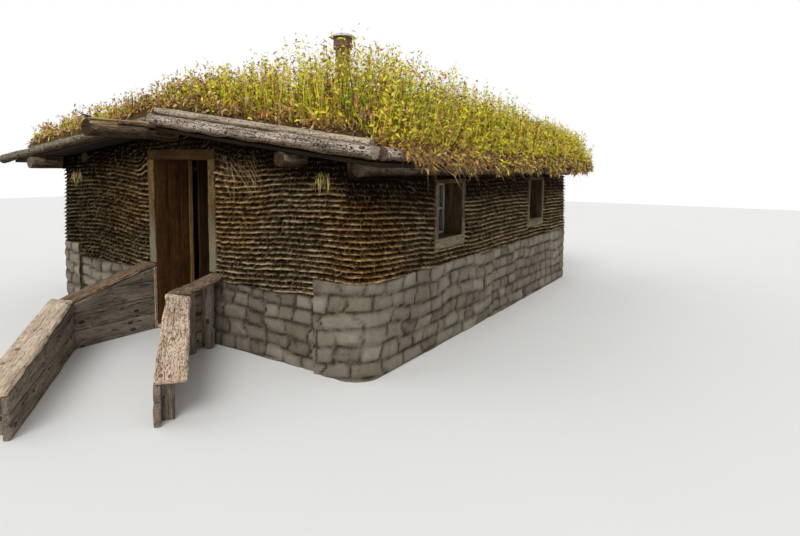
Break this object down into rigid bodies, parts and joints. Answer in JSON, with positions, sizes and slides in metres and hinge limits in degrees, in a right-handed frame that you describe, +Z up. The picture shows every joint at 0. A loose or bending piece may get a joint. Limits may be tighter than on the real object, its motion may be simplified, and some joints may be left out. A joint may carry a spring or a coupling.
{
  "type": "sod house",
  "caption": "Low turf-walled house with a grass roof on logs, a plank door, side windows and a board-lined entry.",
  "frame": {"origin": "under the middle of the door sill, in the outer face of the front wall, at the level the house stands on", "axes": "+X to the right along the front wall, +Y into the house along the ridge, +Z up"},
  "size_m": [6.3768, 8.8539, 3.67],
  "materials": {
    "sod": "dried prairie sod bricks, root-fringed courses",
    "turf": "living turf with dry and green grass",
    "grass": "standing grass and leafy weeds, yellow-green to rust",
    "footing": "pale grey fieldstone and mortar",
    "log": "weathered grey log with dark flecks",
    "split_log": "old split log, cracked and torn",
    "roof_board": "rough dark boards",
    "casing_board": "weathered board, grey-tan",
    "reveal_board": "dark red-brown planks",
    "door_board": "dark planks, ledged",
    "entry_board": "damp dark planks on edge",
    "cap_board": "worn pale plank",
    "window_board": "brown boards, worn pale at the edges",
    "sash": "old pale paint",
    "glass": "plain window glass",
    "iron": "rusty wrought iron",
    "pipe": "rust-brown sheet steel",
    "galvanised": "dull galvanised sheet"
  },
  "bodies": {
    "house": {"back_wall": "sod", "door_casing_head": "casing_board", "door_casings": "casing_board", "door_lining_head": "reveal_board", "door_linings": "reveal_board", "door_pintles": "iron", "door_sill": "cap_board", "eave_logs": "log", "entry_left_far_boards": "entry_board", "entry_left_far_cap": "cap_board", "entry_left_near_boards": "entry_board", "entry_left_near_cap": "cap_board", "entry_right_far_boards": "entry_board", "entry_right_far_cap": "cap_board", "entry_right_near_boards": "entry_board", "entry_right_near_cap": "cap_board", "footing_back": "footing", "footing_front": "footing", "footing_sides": "footing", "front_wall_left": "sod", "front_wall_over_door": "sod", "front_wall_right": "sod", "left_wall": "sod", "pipe_cap": "galvanised", "pipe_collar": "pipe", "plate_logs": "log", "purlins": "log", "rake_logs_left": "log", "rake_logs_right": "log", "ridge_log": "split_log", "right_wall": "sod", "roof_boards_left": "roof_board", "roof_boards_right": "roof_board", "roof_grass": "grass", "roof_turf_left": "turf", "roof_turf_right": "turf", "stovepipe": "pipe", "top_pole": "log", "window_frames_left": "window_board", "window_frames_right": "window_board", "window_glass": "glass", "window_sashes": "sash"},
    "door": {"door_leaf": "door_board", "door_straps": "iron", "door_pull": "iron"}
  },
  "joints": [
    {"name": "door_hinge", "type": "hinge", "parent": "house", "child": "door", "pos_m": [-0.492, 0.5543, 0.42], "axis": [0, 0, 1], "range_deg": [-90, 15]}
  ]
}
